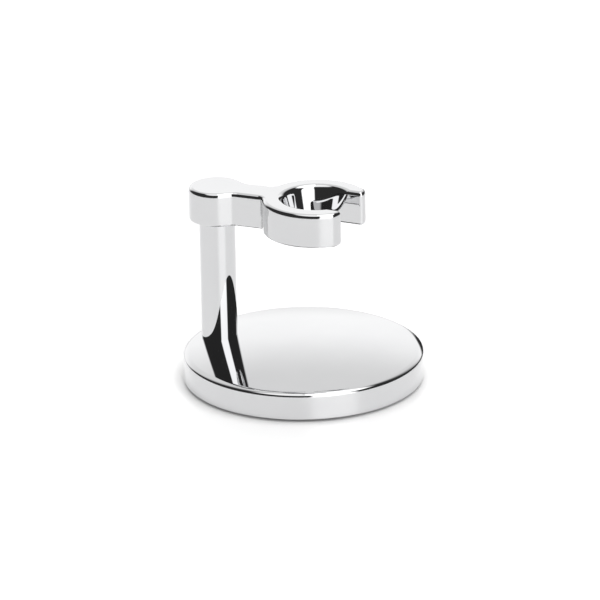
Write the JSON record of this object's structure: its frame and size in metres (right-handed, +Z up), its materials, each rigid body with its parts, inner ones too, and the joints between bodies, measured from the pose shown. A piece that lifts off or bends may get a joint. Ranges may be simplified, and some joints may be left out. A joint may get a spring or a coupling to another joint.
{
  "type": "razor stand",
  "caption": "Weighted round base with an upright post and a level arm whose open ring holds a safety razor by its head, handle down.",
  "frame": {"origin": "centre of the round base, on the surface the stand rests on", "axes": "+Z up along the post; +X along the arm from the post's axis to the ring's axis, towards the ring's open slot; Y = 0 holds the axes of the base, the post and the ring"},
  "size_m": [0.06, 0.06, 0.0482],
  "materials": {
    "base_chrome": "mirror-polished chrome plating on a cast shell",
    "post_chrome": "mirror-polished chrome plating on a turned post",
    "arm_chrome": "mirror-polished chrome plating on a casting with softened edges",
    "weight_steel": "plain turned steel",
    "fastener_steel": "bright zinc-plated steel",
    "pad_rubber": "dark matt soft foam rubber",
    "tape_film": "thin double-sided adhesive film"
  },
  "bodies": {
    "root": {"base_cover": "base_chrome", "base_weight": "weight_steel", "weight_screws": "fastener_steel", "base_bolt": "fastener_steel", "lock_washer": "fastener_steel", "pad_tape": "tape_film", "foot_pad": "pad_rubber", "post": "post_chrome", "base_dowel": "fastener_steel", "arm_stud": "fastener_steel", "arm_dowel": "fastener_steel", "arm": "arm_chrome"}
  },
  "joints": []
}
